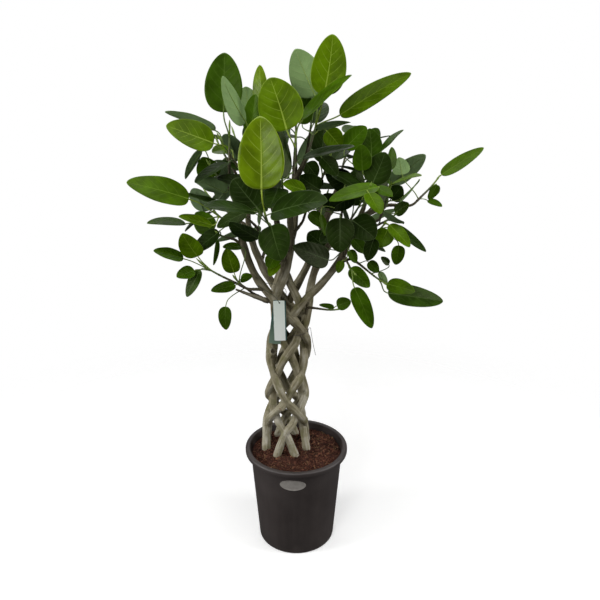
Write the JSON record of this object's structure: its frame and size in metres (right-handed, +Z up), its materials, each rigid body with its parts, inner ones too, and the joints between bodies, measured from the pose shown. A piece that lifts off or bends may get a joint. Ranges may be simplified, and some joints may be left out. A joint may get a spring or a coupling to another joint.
{
  "type": "potted bengal fig",
  "caption": "Potted bengal fig: broad oval green leaves on a braided trunk, in a plain dark nursery pot with a blank hang tag.",
  "frame": {"origin": "centre of the pot's flat base, at floor level", "axes": "+Z up, -Y towards the viewer of the picture (the side with the badge), +X right"},
  "size_m": [0.853, 0.6617, 1.364],
  "materials": {
    "pot_plastic": "dark warm grey moulded plastic, fine matte grain, a little dust",
    "badge_silver": "silver-grey printed label film, satin, left blank",
    "coir_soil": "loose reddish dark-brown coir fibre and bark chips, dull",
    "bark": "grey-olive bark with fine lengthwise cracks, knots and leaf scars, dull",
    "young_leaf": "lime green leaf with pale yellow veins, satin",
    "old_leaf": "deep green leaf with pale veins, satin, paler and duller underneath",
    "tag_pale": "pale mint coated card, left blank",
    "tag_teal": "teal coated card, left blank",
    "string": "thin dark twisted string",
    "wire_grey": "thin coated tie wire, dull dark grey"
  },
  "bodies": {
    "root": {"badge": "badge_silver", "pot": "pot_plastic", "shoot_back_centre": "old_leaf", "shoot_back_left": "old_leaf", "shoot_back_left_high": "old_leaf", "shoot_back_low_left": "old_leaf", "shoot_back_low_right": "old_leaf", "shoot_back_mid": "old_leaf", "shoot_back_middle": "old_leaf", "shoot_back_right": "old_leaf", "shoot_back_right_high": "old_leaf", "shoot_back_top": "old_leaf", "shoot_centre_dark": "old_leaf", "shoot_centre_mid": "old_leaf", "shoot_centre_small": "young_leaf", "shoot_crown_centre": "young_leaf", "shoot_crown_inner": "young_leaf", "shoot_crown_left": "young_leaf", "shoot_crown_top": "young_leaf", "shoot_far_left": "young_leaf", "shoot_far_right": "young_leaf", "shoot_front": "young_leaf", "shoot_inner_centre": "old_leaf", "shoot_inner_front": "old_leaf", "shoot_inner_left": "old_leaf", "shoot_inner_left_low": "old_leaf", "shoot_inner_right": "old_leaf", "shoot_inner_top": "old_leaf", "shoot_left_dark": "old_leaf", "shoot_left_inner": "old_leaf", "shoot_left_upper": "young_leaf", "shoot_low_far_right": "old_leaf", "shoot_low_left": "young_leaf", "shoot_low_left_dark": "old_leaf", "shoot_low_right": "young_leaf", "shoot_low_stub": "old_leaf", "shoot_right_arch": "young_leaf", "shoot_right_dark": "old_leaf", "shoot_right_front": "young_leaf", "shoot_right_inner_low": "old_leaf", "shoot_right_low": "young_leaf", "shoot_right_middle": "old_leaf", "shoot_right_upper": "young_leaf", "shoot_twig_left": "young_leaf", "soil": "coir_soil", "tag_back": "tag_teal", "tag_front": "tag_pale", "tag_string": "string", "tie_wire": "wire_grey", "trunk": "bark"}
  },
  "joints": []
}
